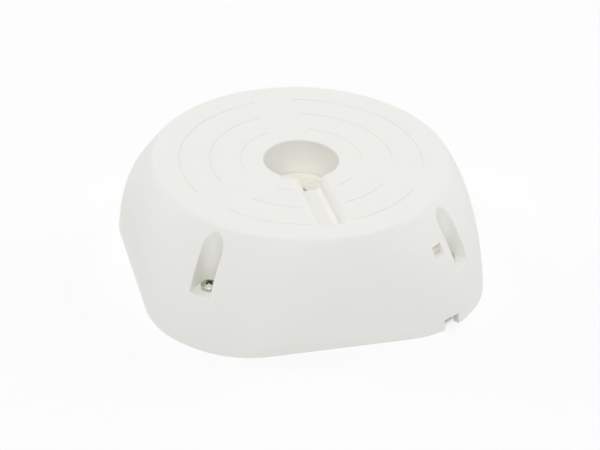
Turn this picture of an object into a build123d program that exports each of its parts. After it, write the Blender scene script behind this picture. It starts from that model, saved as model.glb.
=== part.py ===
from build123d import *
from math import atan2, cos, degrees, hypot, isclose, radians, sin, sqrt
import os

os.makedirs("parts", exist_ok=True)

# A camera junction box: a moulded cover with a flat round top for the camera's
# foot, on a base plate that is fixed to the wall. Four screws in deep corner
# pockets hold the cover to the plate.
# The frame stands on the box's open side: +Z is up out of the camera seat, -Y is
# the side that the cable slot points to, and the origin is the middle of the base.

# Outer form of the cover
height = 52.0  # base to camera seat
top_radius = 70.0  # camera seat
wall_spread = 23.0  # how much further out the domed wall is at the base than at the seat
bulge_radius = 92.0  # curve of the domed wall, seen from the side
flat_cut = 12.8  # how far each flat side is cut into the domed wall, at the base
flat_draft = 1.3  # lean of the flat sides, in degrees
flat_blend_radius = 45.0  # soft change from a flat side to the domed wall
flat_blend_share = 0.92  # most of the room between two flats that the blends may use
rim_radius = 2.2  # edge round the camera seat
foot_radius = 0.5  # lower outer edge
form_margin = 16.0  # how far above the seat the uncut form goes, so that blends run through
form_arc_share = 0.9  # most of the wall's arc that the uncut form may use
wall = 3.0  # cover's side wall
top_wall = 3.0  # cover's top

# Cable hole and the collar below it
hole_radius = 17.5
hole_edge_radius = 0.7
collar_wall = 2.5
collar_depth = 19.0  # camera seat to the ledge that the grommet rests on
seat_step = 0.25  # the hole is this much narrower where the grommet's flange lies
ledge_width = 3.0
ledge_thickness = 2.5

# Cable slot from the hole to the camera's edge
slot_width = 9.5
slot_depth = 6.0
slot_margin = 13.6  # seat's edge to the slot's closed end
slot_corner_radius = 3.0
slot_lip_radius = 3.0
slot_floor_radius = 2.4
slot_inner_lip_radius = 2.5  # where the slot's floor meets the hole
slot_wall = 2.5

# Centring rings on the camera seat, broken by four plain bands
ring_margin = 13.2  # seat's edge to the widest ring
ring_pitch = 14.25
ring_count = 3
groove_width = 0.4
groove_depth = 0.2
band_width = 20.0
band_angles = (0, 60, 180, 300)  # from the slot, in degrees
rib_angles = (60, 180, 300)
rib_thickness = 2.0
rib_height = 9.0

# Corner pockets and their screws
pocket_width = 10.4
pocket_length = 16.0  # base corner to the centre of the pocket's round end
pocket_floor_height = 24.2
pocket_floor_thickness = 3.0
pocket_wall = 2.5
pocket_mouth_radius = 0.5
screw_offset = 1.3  # further out than the centre of the round end
screw_diameter = 4.0
screw_clearance = 0.5
screw_end_gap = 4.2  # below the screw's end, in the boss
head_diameter = 7.7
head_height = 3.1
head_dome_height = 1.1
washer_diameter = 8.0
washer_thickness = 1.5
insert_diameter = 5.6
insert_length = 8.0
insert_groove_depth = 0.35
insert_groove_length = 1.6

# Window in the wall and cable notch below it
entry_angle = 35.7  # from the slot's side towards +X, in degrees
window_width = 6.0
window_height = 4.7
window_drop = 13.0  # camera seat to the window's upper edge
plug_gap = 0.12  # round the rubber plug that closes the window
plug_face_depth = 1.8  # wall's outer face to the plug's face
plug_face_radius = 0.7
plug_flange_width = 1.2
plug_flange_thickness = 1.4
notch_width = 9.1
notch_height = 5.5
notch_reach = 20.0  # how far the notch goes on into the base plate

# Base plate
plate_gap = 0.8  # between the cover's wall and the plate
plate_thickness = 3.0
plate_rim_height = 8.0
plate_rim_thickness = 2.0
boss_diameter = 9.2
boss_spread = 1.4  # how much wider a boss is at its foot
boss_bottom_thickness = 2.0
gusset_length = 13.0
gusset_height = 9.0
gusset_thickness = 1.8
hub_height = 4.0
hub_wall = 2.5
hub_gap = 0.6  # round the bush's flange
fixing_width = 5.2  # wall fixing slots, over wall box screws 60 to 84 apart
fixing_length = 18.0
fixing_gap = 2.5  # between the hub and the pads round the slots
fixing_pad_margin = 3.0
fixing_pad_height = 1.2

# Foam gasket under the plate
gasket_thickness = 2.0
gasket_width = 7.0
gasket_margin = 1.5

# Cable grommet in the collar
grommet_gap = 0.9  # round its top flange
grommet_flange_thickness = 1.4
grommet_neck_clearance = 0.2
grommet_lower_lip = 1.6
grommet_hole_radius = 3.5
grommet_web = 1.2
grommet_wall = 2.0
grommet_step_shares = (0.8, 0.59, 0.39)  # of the flange's radius
grommet_step_drop = 0.4

# Rubber bush in the plate's cable hole
bush_hole_radius = 16.0
bush_bore_radius = 12.0
bush_flange_width = 2.4
bush_flange_thickness = 1.6
bush_neck_clearance = 0.2

# Cable clamp on the plate, on the line of the notch
clamp_radius = 49.0  # middle of the box to the clamp
clamp_width = 8.0
clamp_thickness = 2.6
clamp_end_margin = 3.8
clamp_arch_radius = 4.2
clamp_arch_gap = 0.4  # between the arch and the screws' heads
clamp_pillar_height = 4.0
clamp_pillar_diameter = 7.0
clamp_screw_diameter = 3.0
clamp_screw_length = 8.0
clamp_head_diameter = 5.6
clamp_head_height = 2.2
clamp_screw_clearance = 0.4
clamp_head_dome = 0.8
clamp_pilot_extra = 0.5

# Cross recess in every screw's head, as shares of the head
recess_reach_share = 0.56
recess_slot_share = 0.13
recess_depth_share = 0.55
recess_draft = 6.0

# Places that follow from the sizes above
base_radius = top_radius + wall_spread
flat_half_width = base_radius - flat_cut
inner_top = height - top_wall
slot_floor = height - slot_depth
slot_reach = top_radius - slot_margin
slot_start = hole_radius - slot_lip_radius - ledge_width
ring_radii = [top_radius - ring_margin - ring * ring_pitch for ring in range(ring_count)]
ledge_top = height - collar_depth
ledge_bottom = ledge_top - ledge_thickness
ledge_radius = hole_radius - ledge_width
collar_radius = hole_radius + collar_wall
pocket_radius = pocket_width / 2
pocket_axis_radius = base_radius - pocket_length
screw_axis_radius = pocket_axis_radius + screw_offset
well_radius = pocket_radius + pocket_wall
pocket_underside = pocket_floor_height - pocket_floor_thickness
boss_top = pocket_underside - washer_thickness
window_sill_height = height - window_drop - window_height
plate_bottom = gasket_thickness
plate_top = plate_bottom + plate_thickness
plate_inset = wall + plate_gap
screw_length = pocket_floor_height - plate_bottom - boss_bottom_thickness - screw_end_gap
boss_base_diameter = boss_diameter + boss_spread
boss_draft = degrees(atan2(boss_spread / 2, boss_top - plate_bottom))
grommet_flange_radius = hole_radius - grommet_gap
grommet_neck_radius = ledge_radius - grommet_neck_clearance
grommet_inner_radius = grommet_neck_radius - grommet_wall
grommet_top = ledge_top + grommet_flange_thickness
grommet_step_radii = [grommet_flange_radius * share for share in grommet_step_shares]
bush_flange_radius = bush_hole_radius + bush_flange_width
bush_neck_radius = bush_hole_radius - bush_neck_clearance
hub_radius = bush_flange_radius + hub_gap
fixing_radius = hub_radius + hub_wall + fixing_gap + fixing_pad_margin + fixing_length / 2
clamp_seat = plate_top + clamp_pillar_height
clamp_pitch = 2 * (clamp_arch_radius + clamp_thickness + clamp_arch_gap) + clamp_head_diameter
clamp_length = clamp_pitch + 2 * clamp_end_margin
clamp_pilot_bottom = clamp_seat + clamp_thickness - clamp_screw_length - clamp_pilot_extra
trough_width = slot_width + 2 * slot_wall
mouth_reach = sqrt(hole_radius**2 - (slot_width / 2) ** 2)
far = 2 * base_radius

# The domed wall's curve: an arc through the seat's edge and the base corner
wall_chord = hypot(base_radius - top_radius, height)
arc_offset = sqrt(bulge_radius**2 - (wall_chord / 2) ** 2)
arc_centre_radius = (top_radius + base_radius) / 2 - arc_offset * height / wall_chord
arc_centre_height = height / 2 - arc_offset * (base_radius - top_radius) / wall_chord

corner_angles = (45, 135, 225, 315)
corner_names = ("back_right", "back_left", "front_left", "front_right")


def upright_plane(angle, x=0.0, y=0.0, z=0.0):
    """Upright plane through a point: its first axis at an angle from +X, its second up."""
    direction = radians(angle)
    return Plane(
        origin=(x, y, z),
        x_dir=(cos(direction), sin(direction), 0),
        z_dir=(sin(direction), -cos(direction), 0),
    )


corner_planes = [upright_plane(angle) for angle in corner_angles]
corner_points = [
    (screw_axis_radius * cos(radians(angle)), screw_axis_radius * sin(radians(angle)))
    for angle in corner_angles
]
entry_plane = upright_plane(entry_angle)  # faces outwards at the window and the notch
clamp_points = [
    tuple(entry_plane.from_local_coords((side * clamp_pitch / 2, 0, clamp_radius)))[:2]
    for side in (-1, 1)
]


def wall_radius(z, inset=0.0):
    """Radius of the domed wall at height z, inset inside the outer face."""
    return arc_centre_radius + sqrt((bulge_radius - inset) ** 2 - (z - arc_centre_height) ** 2)


def body_form(inset, low, high):
    """The cover's form as a solid, inset inside its outer face, between two heights."""
    arc_top = arc_centre_height + form_arc_share * (bulge_radius - inset)
    form_top = min(height + form_margin, arc_top)
    half_width = flat_half_width - inset
    blend_limit = (sqrt(2) * half_width - wall_radius(0, inset)) / (sqrt(2) - 1)
    blend = min(flat_blend_radius - inset, flat_blend_share * blend_limit)
    with BuildPart() as form:
        with BuildSketch(corner_planes[0]):
            with BuildLine():
                side = ThreePointArc(
                    (wall_radius(form_top, inset), form_top),
                    (wall_radius(form_top / 2, inset), form_top / 2),
                    (wall_radius(0, inset), 0),
                )
                Polyline(side @ 1, (0, 0), (0, form_top), side @ 0)
            make_face()
        revolve(axis=Axis.Z)
        with BuildSketch():
            Rectangle(2 * half_width, 2 * half_width)
        extrude(amount=form_top, taper=flat_draft, mode=Mode.INTERSECT)
        flats = form.faces().filter_by(GeomType.PLANE).filter_by(lambda f: abs(f.normal_at().Z) < 0.5)
        fillet(flats.edges().filter_by(lambda e: e.bounding_box().max.Z > height / 2), blend)
        with BuildSketch(Plane.XY.offset(low)):
            Circle(far)
        extrude(amount=high - low, mode=Mode.INTERSECT)
    return form.part


outer_form = body_form(0, 0, height)
inner_form = body_form(wall, 0, inner_top)
plug_face_form = body_form(plug_face_depth, 0, inner_top)
plug_back_form = body_form(wall + plug_flange_thickness, 0, inner_top)
plate_form = body_form(plate_inset, plate_bottom, plate_bottom + plate_rim_height)
plate_rim_form = body_form(
    plate_inset + plate_rim_thickness, plate_top, plate_bottom + plate_rim_height
)
gasket_outer_form = body_form(plate_inset + gasket_margin, 0, gasket_thickness)
gasket_inner_form = body_form(plate_inset + gasket_margin + gasket_width, 0, gasket_thickness)

# Cavity of the cover: its inner form, less the collar, slot trough, ribs and pocket wells
with BuildPart() as cover_cavity:
    add(inner_form)
    with BuildSketch(Plane.XY.offset(ledge_bottom)):
        Circle(collar_radius)
    extrude(amount=height - ledge_bottom, mode=Mode.SUBTRACT)
    with BuildSketch(Plane.XY.offset(slot_floor - slot_wall)):
        Rectangle(trough_width, slot_reach + slot_wall, align=(Align.CENTER, Align.MAX))
    extrude(amount=height - slot_floor + slot_wall, mode=Mode.SUBTRACT)
    with BuildSketch(Plane.XY.offset(inner_top - rib_height)):
        for angle in rib_angles:
            with Locations(Location((0, 0, 0), (0, 0, angle))):
                Rectangle(rib_thickness, far, align=(Align.CENTER, Align.MAX))
    extrude(amount=rib_height + top_wall, mode=Mode.SUBTRACT)
    with BuildSketch(Plane.XY.offset(pocket_underside)):
        with PolarLocations(pocket_axis_radius, 4, start_angle=45):
            Circle(well_radius)
            Rectangle(far, 2 * well_radius, align=(Align.MIN, Align.CENTER))
    extrude(amount=height - pocket_underside, mode=Mode.SUBTRACT)

# Cover: one moulding, shaped as a solid and then hollowed
with BuildPart() as cover_shell:
    add(outer_form)
    fillet(cover_shell.faces().sort_by(Axis.Z)[-1].edges(), rim_radius)
    fillet(cover_shell.faces().sort_by(Axis.Z)[0].edges(), foot_radius)

    # Corner pockets: round inner end, open to the outside, flat floor
    with BuildSketch(Plane.XY.offset(pocket_floor_height)):
        with PolarLocations(pocket_axis_radius, 4, start_angle=45):
            Circle(pocket_radius)
            Rectangle(far, pocket_width, align=(Align.MIN, Align.CENTER))
    extrude(amount=height, mode=Mode.SUBTRACT)
    mouth_edges = cover_shell.edges(Select.LAST).filter_by(
        lambda e: e.geom_type == GeomType.BSPLINE
    )
    fillet(mouth_edges, pocket_mouth_radius)

    # Slot: a pocket with rounded lips, whose inner end the round hole then takes
    with BuildSketch(Plane.XY.offset(height)) as slot_outline:
        with Locations((0, -slot_start)):
            Rectangle(slot_width, slot_reach - slot_start, align=(Align.CENTER, Align.MAX))
        fillet(slot_outline.vertices(), slot_corner_radius)
    extrude(amount=-slot_depth, mode=Mode.SUBTRACT)
    fillet(cover_shell.edges(Select.LAST).group_by(Axis.Z)[-1], slot_lip_radius)
    with BuildSketch(Plane.XY.offset(slot_floor)):
        with Locations((0, -slot_start)):
            Rectangle(slot_width, mouth_reach - slot_start, align=(Align.CENTER, Align.MAX))
    extrude(amount=ledge_top - slot_floor, mode=Mode.SUBTRACT)
    floor_ends = cover_shell.edges(Select.LAST).filter_by(Axis.X).group_by(Axis.Z)[-1]
    fillet(floor_ends.sort_by(Axis.Y)[0], slot_inner_lip_radius)
    floor_face = cover_shell.faces().filter_by(Axis.Z).filter_by_position(
        Axis.Z, slot_floor - 0.01, slot_floor + 0.01
    ).sort_by(SortBy.AREA)[-1]
    fillet(floor_face.edges().sort_by(Axis.Y)[:-1], slot_floor_radius)

    # Cable hole down to the collar's ledge, its edge broken
    with BuildSketch(Plane.XY.offset(height)):
        Circle(hole_radius)
    extrude(amount=grommet_top - height, mode=Mode.SUBTRACT)
    with BuildSketch(Plane.XY.offset(ledge_top)):
        Circle(hole_radius - seat_step)
    extrude(amount=grommet_flange_thickness, mode=Mode.SUBTRACT)
    seat_arcs = cover_shell.faces().sort_by(Axis.Z)[-1].edges().filter_by(GeomType.CIRCLE)
    fillet(seat_arcs.filter_by(lambda e: isclose(e.radius, hole_radius)), hole_edge_radius)
    # Centring rings, from the widest inwards, with the plain bands left whole
    with BuildSketch(Plane.XY.offset(height)):
        for radius in ring_radii:
            Circle(radius + groove_width / 2)
            Circle(radius - groove_width / 2, mode=Mode.SUBTRACT)
        for angle in band_angles:
            with Locations(Location((0, 0, 0), (0, 0, angle))):
                Rectangle(band_width, far, align=(Align.CENTER, Align.MAX), mode=Mode.SUBTRACT)
    extrude(amount=-groove_depth, mode=Mode.SUBTRACT)

    # Window in the wall, and the cable notch in the lower edge below it
    with BuildSketch(entry_plane.offset(base_radius)):
        with Locations((0, window_sill_height)):
            Rectangle(window_width, window_height, align=(Align.CENTER, Align.MIN))
    extrude(amount=top_radius - base_radius, mode=Mode.SUBTRACT)
    with BuildSketch(entry_plane.offset(base_radius)):
        Rectangle(notch_width, notch_height, align=(Align.CENTER, Align.MIN))
    extrude(amount=-notch_reach, mode=Mode.SUBTRACT)

    # Cavity, the opening in the collar's ledge, and the screw holes in the pockets' floors
    add(cover_cavity.part, mode=Mode.SUBTRACT)
    with BuildSketch(Plane.XY.offset(ledge_bottom)):
        Circle(ledge_radius)
    extrude(amount=ledge_thickness, mode=Mode.SUBTRACT)
    with BuildSketch(Plane.XY.offset(pocket_underside)):
        with PolarLocations(screw_axis_radius, 4, start_angle=45):
            Circle((screw_diameter + screw_clearance) / 2)
    extrude(amount=pocket_floor_thickness, mode=Mode.SUBTRACT)

# Base plate: a tray inside the cover's lower edge, with a boss for each cover screw
with BuildPart() as base_plate:
    add(plate_form)
    add(plate_rim_form, mode=Mode.SUBTRACT)
    with BuildSketch(Plane.XY.offset(plate_bottom)):
        with PolarLocations(screw_axis_radius, 4, start_angle=45):
            Circle(boss_base_diameter / 2)
    extrude(amount=boss_top - plate_bottom, taper=boss_draft)
    with BuildSketch(*corner_planes):
        Polygon(
            (screw_axis_radius - gusset_length, plate_top),
            (screw_axis_radius, plate_top),
            (screw_axis_radius, plate_top + gusset_height),
            align=None,
        )
    extrude(amount=gusset_thickness / 2, both=True)
    with BuildSketch(Plane.XY.offset(plate_bottom)):
        Circle(hub_radius + hub_wall)
    extrude(amount=plate_thickness + hub_height)
    with BuildSketch(Plane.XY.offset(plate_top)):
        Circle(hub_radius)
    extrude(amount=hub_height, mode=Mode.SUBTRACT)
    with BuildSketch(Plane.XY.offset(plate_bottom)):
        Circle(bush_hole_radius)
    extrude(amount=plate_thickness, mode=Mode.SUBTRACT)
    with BuildSketch(Plane.XY.offset(plate_top)):
        with PolarLocations(fixing_radius, 4):
            SlotOverall(
                fixing_length + 2 * fixing_pad_margin,
                fixing_width + 2 * fixing_pad_margin,
            )
    extrude(amount=fixing_pad_height)
    with BuildSketch(Plane.XY.offset(plate_bottom)):
        with PolarLocations(fixing_radius, 4):
            SlotOverall(fixing_length, fixing_width)
    extrude(amount=plate_thickness + fixing_pad_height, mode=Mode.SUBTRACT)
    with BuildSketch(Plane.XY.offset(plate_top)):
        with Locations(*clamp_points):
            Circle(clamp_pillar_diameter / 2)
    extrude(amount=clamp_pillar_height)
    with BuildSketch(Plane.XY.offset(clamp_seat)):
        with Locations(*clamp_points):
            Circle(clamp_screw_diameter / 2)
    extrude(amount=clamp_pilot_bottom - clamp_seat, mode=Mode.SUBTRACT)
    with BuildSketch(Plane.XY.offset(boss_top)):
        with PolarLocations(screw_axis_radius, 4, start_angle=45):
            Circle(insert_diameter / 2)
    extrude(amount=-insert_length, mode=Mode.SUBTRACT)
    with BuildSketch(Plane.XY.offset(plate_bottom + boss_bottom_thickness)):
        with PolarLocations(screw_axis_radius, 4, start_angle=45):
            Circle((screw_diameter + screw_clearance) / 2)
    extrude(amount=boss_top - plate_bottom - boss_bottom_thickness, mode=Mode.SUBTRACT)
    with BuildSketch(entry_plane.offset(base_radius)):
        Rectangle(notch_width, height, align=(Align.CENTER, Align.MIN))
    extrude(amount=-notch_reach, mode=Mode.SUBTRACT)

# Foam gasket: a ring under the plate's edge, open at the cable notch
with BuildPart() as wall_gasket:
    add(gasket_outer_form)
    add(gasket_inner_form, mode=Mode.SUBTRACT)
    with BuildSketch(entry_plane.offset(base_radius)):
        Rectangle(notch_width, height, align=(Align.CENTER, Align.MIN))
    extrude(amount=-notch_reach, mode=Mode.SUBTRACT)

# Cable grommet: soft stepped membrane, snapped over the collar's ledge
with BuildPart() as cable_grommet:
    with BuildSketch(Plane.XZ):
        with BuildLine():
            Polyline(
                (grommet_neck_radius, ledge_top),
                (grommet_flange_radius, ledge_top),
                (grommet_flange_radius, grommet_top),
                (grommet_step_radii[0], grommet_top),
                (grommet_step_radii[0], grommet_top - grommet_step_drop),
                (grommet_step_radii[1], grommet_top - grommet_step_drop),
                (grommet_step_radii[1], grommet_top - 2 * grommet_step_drop),
                (grommet_step_radii[2], grommet_top - 2 * grommet_step_drop),
                (grommet_hole_radius + grommet_web, grommet_top),
                (grommet_hole_radius, grommet_top),
                (grommet_hole_radius, grommet_top - 2 * grommet_step_drop - grommet_web),
                (grommet_inner_radius, grommet_top - 2 * grommet_step_drop - grommet_web),
                (grommet_inner_radius, ledge_bottom - grommet_lower_lip),
                (grommet_neck_radius, ledge_bottom - grommet_lower_lip),
                (ledge_radius + grommet_lower_lip, ledge_bottom),
                (grommet_neck_radius, ledge_bottom),
                close=True,
            )
        make_face()
    revolve(axis=Axis.Z)

# Rubber plug in the window: a face a little inside the wall, and a flange behind it
with BuildPart() as plug_flange:
    with BuildSketch(entry_plane.offset(base_radius)):
        with Locations((0, window_sill_height - plug_flange_width)):
            Rectangle(
                window_width + 2 * plug_flange_width,
                window_height + 2 * plug_flange_width,
                align=(Align.CENTER, Align.MIN),
            )
    extrude(amount=top_radius - base_radius)
    add(inner_form, mode=Mode.INTERSECT)
with BuildPart() as window_plug:
    with BuildSketch(entry_plane.offset(base_radius)):
        with Locations((0, window_sill_height + plug_gap)):
            Rectangle(
                window_width - 2 * plug_gap,
                window_height - 2 * plug_gap,
                align=(Align.CENTER, Align.MIN),
            )
    extrude(amount=top_radius - base_radius)
    add(plug_face_form, mode=Mode.INTERSECT)
    plug_face = window_plug.faces().sort_by(Axis(origin=(0, 0, 0), direction=entry_plane.z_dir))[-1]
    fillet(plug_face.edges(), plug_face_radius)
    add(plug_flange.part)
    add(plug_back_form, mode=Mode.SUBTRACT)

# Rubber bush in the plate's cable hole
with BuildPart() as rear_cable_bush:
    with BuildSketch(Plane.XZ):
        with BuildLine():
            Polyline(
                (bush_bore_radius, plate_bottom - bush_flange_thickness),
                (bush_flange_radius, plate_bottom - bush_flange_thickness),
                (bush_flange_radius, plate_bottom),
                (bush_neck_radius, plate_bottom),
                (bush_neck_radius, plate_top),
                (bush_flange_radius, plate_top),
                (bush_flange_radius, plate_top + bush_flange_thickness),
                (bush_bore_radius, plate_top + bush_flange_thickness),
                close=True,
            )
        make_face()
    revolve(axis=Axis.Z)

# Cable clamp: an arched bar across the line of the notch
with BuildPart() as cable_clamp:
    with BuildSketch(entry_plane.offset(clamp_radius)):
        with Locations((0, clamp_seat)):
            Rectangle(clamp_length, clamp_thickness, align=(Align.CENTER, Align.MIN))
            Circle(clamp_arch_radius + clamp_thickness)
            Circle(clamp_arch_radius, mode=Mode.SUBTRACT)
            Rectangle(clamp_length, clamp_length, align=(Align.CENTER, Align.MAX), mode=Mode.SUBTRACT)
    extrude(amount=clamp_width / 2, both=True)
    with BuildSketch(Plane.XY.offset(clamp_seat)):
        with Locations(*clamp_points):
            Circle((clamp_screw_diameter + clamp_screw_clearance) / 2)
    extrude(amount=clamp_thickness, mode=Mode.SUBTRACT)


def pan_head_screw(x, y, seat, diameter, length, head, head_rise, dome):
    """Pan head screw, head down to the seat, with a cross recess."""
    upright = Plane(origin=(x, y, seat), x_dir=(1, 0, 0), z_dir=(0, -1, 0))
    with BuildPart() as screw:
        with BuildSketch(upright):
            with BuildLine():
                crown = ThreePointArc(
                    (0, head_rise),
                    (head / 4, head_rise - dome / 4),
                    (head / 2, head_rise - dome),
                )
                Polyline(
                    crown @ 1,
                    (head / 2, 0),
                    (diameter / 2, 0),
                    (diameter / 2, diameter / 4 - length),
                    (diameter / 4, -length),
                    (0, -length),
                    crown @ 0,
                )
            make_face()
        revolve(axis=Axis((x, y, seat), (0, 0, 1)))
        with BuildSketch(Plane(origin=(x, y, seat + head_rise))):
            Rectangle(head * recess_reach_share, head * recess_slot_share)
            Rectangle(head * recess_slot_share, head * recess_reach_share)
        extrude(amount=-head_rise * recess_depth_share, taper=recess_draft, mode=Mode.SUBTRACT)
    return screw.part


def retaining_washer(x, y):
    """Washer that keeps the screw in the cover, between pocket floor and boss."""
    with BuildPart() as washer:
        with BuildSketch(Plane(origin=(x, y, boss_top))):
            Circle(washer_diameter / 2)
            Circle(screw_diameter / 2, mode=Mode.SUBTRACT)
        extrude(amount=washer_thickness)
    return washer.part


def threaded_insert(x, y):
    """Brass insert in the boss, with a groove between its two gripping bands."""
    with BuildPart() as insert:
        with BuildSketch(Plane(origin=(x, y, boss_top))):
            Circle(insert_diameter / 2)
            Circle(screw_diameter / 2, mode=Mode.SUBTRACT)
        extrude(amount=-insert_length)
        with BuildSketch(Plane(origin=(x, y, boss_top - insert_length / 2))):
            Circle(insert_diameter / 2)
            Circle(insert_diameter / 2 - insert_groove_depth, mode=Mode.SUBTRACT)
        extrude(amount=insert_groove_length / 2, both=True, mode=Mode.SUBTRACT)
    return insert.part


def save(part, name):
    """Label a finished piece and write it out."""
    part.label = name
    export_step(part, f"parts/{name}.step")


save(cover_shell.part, "cover_shell")
save(base_plate.part, "base_plate")
save(wall_gasket.part, "wall_gasket")
save(cable_grommet.part, "cable_grommet")
save(window_plug.part, "window_plug")
save(rear_cable_bush.part, "rear_cable_bush")
save(cable_clamp.part, "cable_clamp")
for corner, (x, y) in zip(corner_names, corner_points):
    screw = pan_head_screw(
        x, y, pocket_floor_height, screw_diameter, screw_length, head_diameter, head_height,
        head_dome_height,
    )
    save(screw, f"cover_screw_{corner}")
    save(retaining_washer(x, y), f"retaining_washer_{corner}")
    save(threaded_insert(x, y), f"threaded_insert_{corner}")

for side, (x, y) in zip(("left", "right"), clamp_points):
    screw = pan_head_screw(
        x, y, clamp_seat + clamp_thickness, clamp_screw_diameter, clamp_screw_length,
        clamp_head_diameter, clamp_head_height, clamp_head_dome,
    )
    save(screw, f"clamp_screw_{side}")
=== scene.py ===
"""Looks for the camera junction box: materials, finished screws, studio and camera.

Everything is in metres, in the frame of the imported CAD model: +Z out of the camera
seat, -Y towards the closed end of the cable slot, the origin in the middle of the base.
Colours are linear, and directions are in degrees.
"""

from math import cos, pi, radians, sin
from typing import NamedTuple

import bmesh
import bpy
from mathutils import Matrix, Vector


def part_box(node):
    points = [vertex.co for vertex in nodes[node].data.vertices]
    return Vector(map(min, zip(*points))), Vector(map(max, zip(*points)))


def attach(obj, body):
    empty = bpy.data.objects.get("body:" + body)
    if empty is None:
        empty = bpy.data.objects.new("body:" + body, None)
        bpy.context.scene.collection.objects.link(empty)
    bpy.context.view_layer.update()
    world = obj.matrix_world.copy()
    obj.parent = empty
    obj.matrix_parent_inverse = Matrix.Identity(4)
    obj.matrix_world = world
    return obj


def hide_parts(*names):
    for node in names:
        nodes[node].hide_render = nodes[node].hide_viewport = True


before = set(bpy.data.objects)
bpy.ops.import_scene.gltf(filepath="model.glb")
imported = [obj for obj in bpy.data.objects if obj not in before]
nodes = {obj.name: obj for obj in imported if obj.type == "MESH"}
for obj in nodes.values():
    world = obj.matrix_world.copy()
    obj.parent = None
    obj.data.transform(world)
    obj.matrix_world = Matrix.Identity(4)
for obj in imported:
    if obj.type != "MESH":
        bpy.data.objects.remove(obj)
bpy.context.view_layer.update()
scene = bpy.context.scene


# Materials: node trees in the object's own metres, with no image and no flat colour
MOULDED_EDGE = 0.00016  # radius that the shading gives the edges of moulded plastic
EDGE_SAMPLES = 6


class Nodes:
    """The node tree of a material or world, with short calls for the nodes it needs."""

    def __init__(self, owner, output="ShaderNodeOutputMaterial"):
        owner.use_nodes = True
        self.owner = owner
        self.tree = owner.node_tree
        self.tree.nodes.clear()
        self.output = self.add(output)

    @property
    def point(self):
        """The place on the object, in its own metres."""
        return self.add("ShaderNodeTexCoord").outputs["Object"]

    def add(self, kind, **values):
        """A new node. Values name its inputs, with _ for a space, or its own settings."""
        node = self.tree.nodes.new(kind)
        for key, value in values.items():
            title = key.replace("_", " ")
            if title in node.inputs:
                self.set(node.inputs[title], value)
            else:
                setattr(node, key, value)
        return node

    def set(self, socket, value):
        """Links a socket to another node's output, or gives it a constant."""
        if isinstance(value, bpy.types.NodeSocket):
            self.tree.links.new(value, socket)
        else:
            socket.default_value = value

    def fill(self, node, *values):
        """Sets a node's first inputs in their order, and returns its first output."""
        for socket, value in zip(node.inputs, values):
            self.set(socket, value)
        return node.outputs[0]

    def maths(self, operation, *values):
        return self.fill(self.add("ShaderNodeMath", operation=operation), *values)

    def noise(self, scale, detail, roughness):
        node = self.add("ShaderNodeTexNoise", Scale=scale, Detail=detail, Roughness=roughness)
        self.set(node.inputs["Vector"], self.point)
        return node.outputs["Fac"]

    def cells(self, scale):
        node = self.add("ShaderNodeTexVoronoi", Scale=scale, feature="F1")
        self.set(node.inputs["Vector"], self.point)
        return node.outputs["Distance"]

    def between(self, value, low, high):
        """Takes 0..1 to low..high."""
        node = self.add("ShaderNodeMapRange", Value=value, To_Min=low, To_Max=high)
        return node.outputs["Result"]

    def past(self, value, start, end):
        """0 up to start, 1 from end on, and even between them."""
        node = self.add("ShaderNodeMapRange", Value=value, From_Min=start, From_Max=end)
        return node.outputs["Result"]

    def ramp(self, value, *stops):
        """Runs from one colour to another along 0..1, each given as (place, colour)."""
        node = self.add("ShaderNodeValToRGB")
        for element, (place, colour) in zip(node.color_ramp.elements, stops):
            element.position = place
            element.color = (*colour, 1.0)
        self.set(node.inputs["Fac"], value)
        return node.outputs["Color"]

    def bump(self, height, distance, strength, normal=None):
        node = self.add("ShaderNodeBump", Strength=strength, Distance=distance)
        self.set(node.inputs["Height"], height)
        if normal:
            self.set(node.inputs["Normal"], normal)
        return node.outputs["Normal"]

    def soft_edges(self, radius):
        """Normals that turn over an edge, as a moulded edge of that radius does."""
        node = self.add("ShaderNodeBevel", samples=EDGE_SAMPLES, Radius=radius)
        return node.outputs["Normal"]

    def show(self, shader):
        """Makes a shader's output what the material or world shows."""
        self.set(self.output.inputs["Surface"], shader)

    def surface(self, **values):
        """Shows a Principled shader with the given inputs."""
        self.show(self.add("ShaderNodeBsdfPrincipled", **values).outputs["BSDF"])

    def show_mix(self, share, first, second):
        """Shows two shaders: the first where the share is 0, the second where it is 1."""
        mix = self.add("ShaderNodeMixShader")
        self.show(self.fill(mix, share, first.outputs[0], second.outputs[0]))


def shade(colour, factor):
    return tuple(channel * factor for channel in colour)


def moulded_plastic(name, colour, roughness=0.52, grain=1.0):
    """Matt moulded plastic: spark-eroded grain, faint flow clouds and a soft sheen."""
    n = Nodes(bpy.data.materials.new(name))
    clouds = n.noise(scale=14.0, detail=3.0, roughness=0.55)
    fine = n.noise(scale=2600.0, detail=2.0, roughness=0.6)
    pits = n.cells(scale=1700.0)
    fine_share, pits_share = 0.7, 0.5
    height = n.maths(
        "ADD",
        n.maths("MULTIPLY", fine, fine_share),
        n.maths("MULTIPLY", pits, pits_share),
    )
    edges = n.soft_edges(MOULDED_EDGE)
    n.surface(
        Base_Color=n.ramp(clouds, (0.3, shade(colour, 0.994)), (0.7, colour)),
        Roughness=n.between(fine, roughness - 0.05, roughness + 0.06),
        Normal=n.bump(height, distance=0.00002, strength=0.35 * grain, normal=edges),
        IOR=1.49,
    )
    return n.owner


def soft_rubber(name, colour, roughness=0.62):
    """Soft rubber: dull, with a powdery mottle and a fine skin."""
    n = Nodes(bpy.data.materials.new(name))
    mottle = n.noise(scale=260.0, detail=4.0, roughness=0.6)
    skin = n.noise(scale=3200.0, detail=2.0, roughness=0.6)
    n.surface(
        Base_Color=n.ramp(mottle, (0.25, shade(colour, 0.96)), (0.75, colour)),
        Roughness=n.between(skin, roughness - 0.08, roughness + 0.1),
        Normal=n.bump(skin, distance=0.00003, strength=0.4),
        IOR=1.5,
    )
    return n.owner


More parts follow.
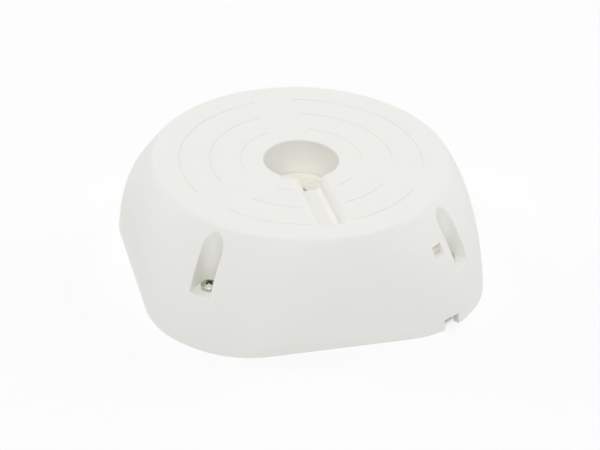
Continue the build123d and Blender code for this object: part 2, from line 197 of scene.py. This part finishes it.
def foam(name, colour):
    """Closed-cell foam: uneven in tone, with small cells cut open at its faces."""
    n = Nodes(bpy.data.materials.new(name))
    cell = n.cells(scale=1300.0)
    tone = n.noise(scale=500.0, detail=3.0, roughness=0.6)
    n.surface(
        Base_Color=n.ramp(tone, (0.3, shade(colour, 0.75)), (0.8, shade(colour, 1.35))),
        Roughness=n.between(tone, 0.82, 0.97),
        Normal=n.bump(cell, distance=0.0002, strength=0.7),
    )
    return n.owner


def turned_metal(name, colour, roughness):
    """Metal with fine marks and a slightly uneven polish."""
    n = Nodes(bpy.data.materials.new(name))
    stain = n.noise(scale=420.0, detail=4.0, roughness=0.6)
    marks = n.noise(scale=5200.0, detail=2.0, roughness=0.7)
    n.surface(
        Base_Color=n.ramp(stain, (0.3, shade(colour, 0.82)), (0.7, colour)),
        Metallic=1.0,
        Roughness=n.between(stain, roughness - 0.08, roughness + 0.12),
        Normal=n.bump(marks, distance=0.00001, strength=0.4),
    )
    return n.owner


def give(material, *names):
    """Puts one material on CAD nodes."""
    for name in names:
        mesh = nodes[name].data
        mesh.materials.clear()
        mesh.materials.append(material)


corners = ("back_left", "back_right", "front_left", "front_right")
washers = [f"retaining_washer_{corner}" for corner in corners]
inserts = [f"threaded_insert_{corner}" for corner in corners]

give(moulded_plastic("cover_plastic", (0.915, 0.909, 0.872)), "cover_shell")
give(moulded_plastic("plate_plastic", (0.86, 0.85, 0.815), roughness=0.48), "base_plate")
give(
    moulded_plastic("clamp_nylon", (0.76, 0.75, 0.72), roughness=0.42, grain=0.6),
    "cable_clamp",
)
give(soft_rubber("grommet_rubber", (0.945, 0.935, 0.85)), "cable_grommet")
# Cream rubber like the grommet's, darkened as painted shade of the window recess it sits in
give(soft_rubber("plug_rubber_painted_shade", (0.82, 0.805, 0.68)), "window_plug")
give(soft_rubber("bush_rubber", (0.035, 0.035, 0.036), roughness=0.55), "rear_cable_bush")
give(foam("gasket_foam", (0.03, 0.03, 0.031)), "wall_gasket")
steel = turned_metal("screw_steel", (0.585, 0.63, 0.515), roughness=0.32)
# Dark steel for the faces of each cross recess: painted shade of the deep recess
painted_shade_recess_steel = turned_metal("painted_shade_recess_steel", (0.15, 0.165, 0.11), roughness=0.5)
give(moulded_plastic("washer_nylon", (0.66, 0.66, 0.64), roughness=0.4, grain=0.4), *washers)
give(turned_metal("insert_brass", (0.72, 0.54, 0.25), roughness=0.34), *inserts)


# Screws: pan heads with a tapered cross recess, and cut threads
class Screw(NamedTuple):
    """A pan head screw's sizes. Its length and place are those of its CAD node."""

    shank_radius: float
    head_radius: float
    head_rise: float
    head_dome: float  # how much of the rise the domed top takes
    pitch: float


COVER_SCREW = Screw(
    shank_radius=0.002, head_radius=0.00385, head_rise=0.0031, head_dome=0.0011, pitch=0.0007
)
CLAMP_SCREW = Screw(
    shank_radius=0.0015, head_radius=0.0028, head_rise=0.0022, head_dome=0.0008, pitch=0.0009
)

HEAD_EDGE = 0.12  # round at the head's rim, as a share of its rise
RECESS_REACH = 1.3  # across the cross, as a share of the head's radius
RECESS_WIDTH = 0.37  # of one arm, as a share of the head's radius
RECESS_DEPTH = 0.62  # as a share of the head's rise
RECESS_FLOOR_REACH = 0.45  # at the recess's floor, as a share of the reach at its mouth
RECESS_FLOOR_WIDTH = 0.8  # the same for the width
RECESS_OVERSHOOT = 0.0004  # how far the cutter stands out of the head
THREAD_DEPTH = 0.16  # as a share of the shank's radius
SOFT_EDGE = 0.00008  # width of the bevel on the head's sharp edges
SHARP_ANGLE = radians(35)  # faces that meet at a larger angle have a sharp edge

COVER_SCREW_TURNS = (12, 67, 24, 50)  # of each cross about its axis, by corner
CLAMP_SCREW_TURNS = {"left": 20, "right": 74}

HEAD_SEGMENTS = 64
HEAD_EDGE_STEPS = 3
HEAD_DOME_STEPS = 9
SHANK_SEGMENTS = 40
SHANK_ROWS = 8  # in one pitch


def revolved(profile, segments):
    """Closed mesh turned about Z, from (radius, height) points with both ends on Z."""
    mesh = bmesh.new()
    turns = [2 * pi * step / segments for step in range(segments)]
    rings = []
    for radius, height in profile:
        if radius == 0:
            rings.append([mesh.verts.new((0.0, 0.0, height))])
        else:
            points = [(radius * cos(turn), radius * sin(turn), height) for turn in turns]
            rings.append([mesh.verts.new(point) for point in points])
    for one, two in zip(rings, rings[1:]):
        for step in range(segments):
            after = (step + 1) % segments
            if len(one) == 1:
                mesh.faces.new((one[0], two[after], two[step]))
            elif len(two) == 1:
                mesh.faces.new((one[step], one[after], two[0]))
            else:
                mesh.faces.new((one[step], one[after], two[after], two[step]))
    return mesh


def threaded_shank(radius, pitch, length):
    """Closed mesh from height 0 down, with a helical thread that runs out at both ends."""
    mesh = bmesh.new()
    depth = THREAD_DEPTH * radius
    rows = round(length / pitch * SHANK_ROWS)
    rings = []
    for row in range(rows + 1):
        height = -length * row / rows
        run_out = min(1.0, row / SHANK_ROWS, (rows - row) / SHANK_ROWS)
        ring = []
        for step in range(SHANK_SEGMENTS):
            turn = step / SHANK_SEGMENTS
            wave = abs(2 * ((height / pitch + turn) % 1.0) - 1.0)
            r = radius - depth * (1.0 - run_out * (1.0 - wave))
            point = (r * cos(2 * pi * turn), r * sin(2 * pi * turn), height)
            ring.append(mesh.verts.new(point))
        rings.append(ring)
    for one, two in zip(rings, rings[1:]):
        for step in range(SHANK_SEGMENTS):
            after = (step + 1) % SHANK_SEGMENTS
            mesh.faces.new((one[after], one[step], two[step], two[after]))
    mesh.faces.new(rings[0])
    mesh.faces.new(list(reversed(rings[-1])))
    return mesh


def cross_outline(reach, width):
    """The twelve corners of a cross."""
    a, b = reach / 2, width / 2
    quarter = [(a, -b), (a, b), (b, b)]
    turns = [(1, 0, 0, 1), (0, -1, 1, 0), (-1, 0, 0, -1), (0, 1, -1, 0)]
    return [(m * x + n * y, o * x + p * y) for m, n, o, p in turns for x, y in quarter]


def cross_cutter(reach, width, top, bottom):
    """Cross-shaped plug that tapers from its top to its bottom."""
    floor_sizes = (reach * RECESS_FLOOR_REACH, width * RECESS_FLOOR_WIDTH)
    mesh = bmesh.new()
    rings = []
    for height, sizes in ((top, (reach, width)), (bottom, floor_sizes)):
        rings.append([mesh.verts.new((x, y, height)) for x, y in cross_outline(*sizes)])
    mouth, floor = rings
    for step in range(len(mouth)):
        after = (step + 1) % len(mouth)
        mesh.faces.new((floor[step], floor[after], mouth[after], mouth[step]))
    mesh.faces.new(mouth)
    mesh.faces.new(list(reversed(floor)))
    return mesh


def as_object(name, mesh):
    """A Blender object from mesh code, with its faces turned outwards."""
    bmesh.ops.recalc_face_normals(mesh, faces=mesh.faces)
    data = bpy.data.meshes.new(name)
    mesh.to_mesh(data)
    mesh.free()
    made = bpy.data.objects.new(name, data)
    scene.collection.objects.link(made)
    return made


def apply_modifiers(thing):
    """Puts an object's modifiers into its mesh."""
    bpy.context.view_layer.update()
    evaluated = thing.evaluated_get(bpy.context.evaluated_depsgraph_get())
    ready = bpy.data.meshes.new_from_object(evaluated)
    thing.modifiers.clear()
    thing.data = ready


def head_profile(radius, rise, dome):
    """Half section of a pan head: flat seat, rounded rim and domed top."""
    edge = HEAD_EDGE * rise
    side = rise - dome
    profile = [(0.0, 0.0), (radius - edge, 0.0), (radius, edge)]
    for step in range(HEAD_EDGE_STEPS + 1):
        turn = radians(90 * step / HEAD_EDGE_STEPS)
        profile.append((radius - edge * (1 - cos(turn)), side - edge + edge * sin(turn)))
    for step in range(1, HEAD_DOME_STEPS):
        r = (radius - edge) * (1 - step / HEAD_DOME_STEPS)
        profile.append((r, side + dome * (1 - (r / (radius - edge)) ** 2)))
    return profile + [(0.0, rise)]


def screw_head(name, screw):
    """Pan head from height 0 up, with its recess cut and its edges softened."""
    radius, rise = screw.head_radius, screw.head_rise
    profile = head_profile(radius, rise, screw.head_dome)
    head = as_object(name, revolved(profile, HEAD_SEGMENTS))
    cutter = cross_cutter(
        reach=RECESS_REACH * radius,
        width=RECESS_WIDTH * radius,
        top=rise + RECESS_OVERSHOOT,
        bottom=rise - RECESS_DEPTH * rise,
    )
    plug = as_object(name + "_plug", cutter)
    head.data.materials.append(steel)
    # The cutter's dark steel goes onto the recess's faces as painted shade
    plug.data.materials.append(painted_shade_recess_steel)
    cut = head.modifiers.new("recess", "BOOLEAN")
    cut.operation = "DIFFERENCE"
    cut.solver = "EXACT"
    cut.material_mode = "TRANSFER"
    cut.object = plug
    apply_modifiers(head)
    bpy.data.objects.remove(plug)
    soft = head.modifiers.new("soft_edges", "BEVEL")
    soft.width = SOFT_EDGE
    soft.segments = 2
    soft.limit_method = "ANGLE"
    soft.angle_limit = SHARP_ANGLE
    apply_modifiers(head)
    return head


def finished_screw(node, screw, turned):
    """Builds a screw over its CAD node: head, thread, cross recess, a turn of its own."""
    low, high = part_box(node)
    seat = high.z - screw.head_rise
    head = screw_head(node + "_finished", screw)
    thread = threaded_shank(screw.shank_radius, screw.pitch, seat - low.z)
    shank = as_object(node + "_shank", thread)
    joined = bmesh.new()
    joined.from_mesh(head.data)
    joined.from_mesh(shank.data)
    joined.to_mesh(head.data)
    joined.free()
    bpy.data.objects.remove(shank)
    middle = Vector(((low.x + high.x) / 2, (low.y + high.y) / 2, seat))
    turn = Matrix.Rotation(radians(turned), 4, "Z")
    head.data.transform(Matrix.Translation(middle) @ turn)
    head.data.shade_smooth()
    head.data.set_sharp_from_angle(angle=SHARP_ANGLE)
    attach(head, "root")
    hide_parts(node)


for corner, turned in zip(corners, COVER_SCREW_TURNS):
    finished_screw(f"cover_screw_{corner}", COVER_SCREW, turned)
for side, turned in CLAMP_SCREW_TURNS.items():
    finished_screw(f"clamp_screw_{side}", CLAMP_SCREW, turned)


# Studio: a white sweep, an even white surround, and broad soft lights all round
SWEEP_FRONT = -6.0
SWEEP_BACK = 1.5  # where the level floor ends and the sweep turns up
SWEEP_RADIUS = 1.2
SWEEP_HALF_WIDTH = 7.0
SWEEP_STEPS = 12
FLOOR_DROP = 0.0001  # the floor lies this far below the box, so that no faces coincide

FLOOR_SHADOW = 0.25  # share of the floor's own shading that the camera sees
FLOOR_PAPER = (0.93, 0.93, 0.93, 1.0)
FLOOR_GLOW = 1.03  # strength of the white that the camera sees for the rest
# The glow is there only outside the box: none up to the first distance, all of it from
# the second. At the flat sides that is along X or Y, at the corners from the middle
GLOW_PAST_SIDES = (0.0725, 0.0755)
GLOW_PAST_CORNERS = (0.086, 0.089)

WHITE = (1.0, 1.0, 1.0, 1.0)
WORLD_LIGHT = 0.179  # strength of the surround as a light
WORLD_SEEN = 1.0  # its strength where the camera sees it

LIGHT_SPREAD = radians(28.0)
LIGHTS = {  # azimuth from the front, elevation, strength
    "front_high": (-15, 55, 0.288),
    "front": (-15, 35, 0.143),
    "back_high": (165, 60, 0.070),
    "back": (165, 30, 0.052),
    "left_high": (-80, 60, 0.063),
    "back_left": (-130, 35, 0.135),
    "back_left_low": (-130, 12, 0.182),
    "back_right": (110, 35, 0.177),
    "back_right_low": (110, 12, 0.076),
    "right": (60, 20, 0.069),
}


def direction(azimuth, elevation):
    """The unit vector that points from the box to a place round it."""
    a, e = radians(azimuth), radians(elevation)
    return Vector((sin(a) * cos(e), -cos(a) * cos(e), sin(e)))


def sweep_mesh():
    """A floor that runs on level in front and turns up behind."""
    profile = [(SWEEP_FRONT, -FLOOR_DROP), (SWEEP_BACK, -FLOOR_DROP)]
    for step in range(1, SWEEP_STEPS + 1):
        turn = radians(90 * step / SWEEP_STEPS)
        y = SWEEP_BACK + SWEEP_RADIUS * sin(turn)
        z = SWEEP_RADIUS * (1 - cos(turn)) - FLOOR_DROP
        profile.append((y, z))
    points = [(side * SWEEP_HALF_WIDTH, y, z) for y, z in profile for side in (-1, 1)]
    faces = [(2 * i, 2 * i + 1, 2 * i + 3, 2 * i + 2) for i in range(len(profile) - 1)]
    mesh = bpy.data.meshes.new("studio_sweep")
    mesh.from_pydata(points, [], faces)
    for face in mesh.polygons:
        face.use_smooth = True
    return mesh


def seen_directly(n):
    """1 for rays that show a thing itself: the camera's, and those by gloss or glass."""
    path = n.add("ShaderNodeLightPath").outputs
    mirrored = n.maths("MAXIMUM", path["Is Glossy Ray"], path["Is Transmission Ray"])
    return n.maths("MAXIMUM", path["Is Camera Ray"], mirrored)


def outside_box(n):
    """1 on the floor round the box, and 0 under it, where the notch shows it dark."""
    place = n.add("ShaderNodeSeparateXYZ", Vector=n.point).outputs
    x, y = place["X"], place["Y"]
    sides = n.maths("MAXIMUM", n.maths("ABSOLUTE", x), n.maths("ABSOLUTE", y))
    squares = n.maths("ADD", n.maths("POWER", x, 2.0), n.maths("POWER", y, 2.0))
    past_sides = n.past(sides, *GLOW_PAST_SIDES)
    past_corners = n.past(n.maths("SQRT", squares), *GLOW_PAST_CORNERS)
    return n.maths("MAXIMUM", past_sides, past_corners)


def studio_paper():
    """Matt white paper that the camera sees lit up, so that only a faint shadow stays."""
    n = Nodes(bpy.data.materials.new("studio_paper"))
    paper = n.add("ShaderNodeBsdfDiffuse", Color=FLOOR_PAPER)
    glow = n.add("ShaderNodeEmission", Color=WHITE, Strength=FLOOR_GLOW)
    lit_up = n.maths("MULTIPLY", outside_box(n), 1.0 - FLOOR_SHADOW)
    n.show_mix(n.maths("MULTIPLY", seen_directly(n), lit_up), paper, glow)
    n.owner.cycles.emission_sampling = "NONE"
    return n.owner


def studio_surround():
    """An even surround: dim as a light, and white where the camera sees it."""
    n = Nodes(bpy.data.worlds.new("studio_surround"), "ShaderNodeOutputWorld")
    light = n.add("ShaderNodeBackground", Color=WHITE, Strength=WORLD_LIGHT)
    seen = n.add("ShaderNodeBackground", Color=WHITE, Strength=WORLD_SEEN)
    n.show_mix(seen_directly(n), light, seen)
    n.owner.cycles.sampling_method = "NONE"
    return n.owner


def add_light(name, azimuth, elevation, strength):
    """A far, broad soft light from a direction."""
    data = bpy.data.lights.new(name, "SUN")
    data.energy = pi * strength
    data.angle = LIGHT_SPREAD
    light = bpy.data.objects.new(name, data)
    light.rotation_mode = "QUATERNION"
    light.rotation_quaternion = direction(azimuth, elevation).to_track_quat("Z", "Y")
    scene.collection.objects.link(light)


floor = bpy.data.objects.new("studio_sweep", sweep_mesh())
scene.collection.objects.link(floor)
floor.data.materials.append(studio_paper())
scene.world = studio_surround()
for place, (azimuth, elevation, strength) in LIGHTS.items():
    add_light(f"light_{place}", azimuth, elevation, strength)


# Camera, as it stood for the photograph (fitted to points of the object)
CAMERA_AZIMUTH = -15.426
CAMERA_ELEVATION = 32.471
CAMERA_ROLL = -2.079
CAMERA_DISTANCE = 0.989719
CAMERA_TARGET_SIDE = 0.000641  # the point it aims at: right of the middle, as it sees it
CAMERA_TARGET_HEIGHT = 0.015448
CAMERA_SENSOR = 36.0  # millimetres, as the lens
CAMERA_LENS = 124.88


def place_camera():
    """The fitted camera: its place, its aim and its small roll."""
    azimuth, roll = radians(CAMERA_AZIMUTH), radians(CAMERA_ROLL)
    back = direction(CAMERA_AZIMUTH, CAMERA_ELEVATION)
    right = Vector((cos(azimuth), sin(azimuth), 0.0))
    up = back.cross(right)
    target = right * CAMERA_TARGET_SIDE + Vector((0.0, 0.0, CAMERA_TARGET_HEIGHT))
    side = right * cos(roll) - up * sin(roll)
    top = right * sin(roll) + up * cos(roll)
    data = bpy.data.cameras.new("photo_camera")
    data.sensor_width = CAMERA_SENSOR
    data.lens = CAMERA_LENS
    data.clip_start = 0.01
    data.clip_end = 50.0
    camera = bpy.data.objects.new("photo_camera", data)
    scene.collection.objects.link(camera)
    turn = Matrix((side, top, back)).transposed().to_4x4()
    camera.matrix_world = Matrix.Translation(target + back * CAMERA_DISTANCE) @ turn
    scene.camera = camera


place_camera()
scene.view_settings.view_transform = "Standard"
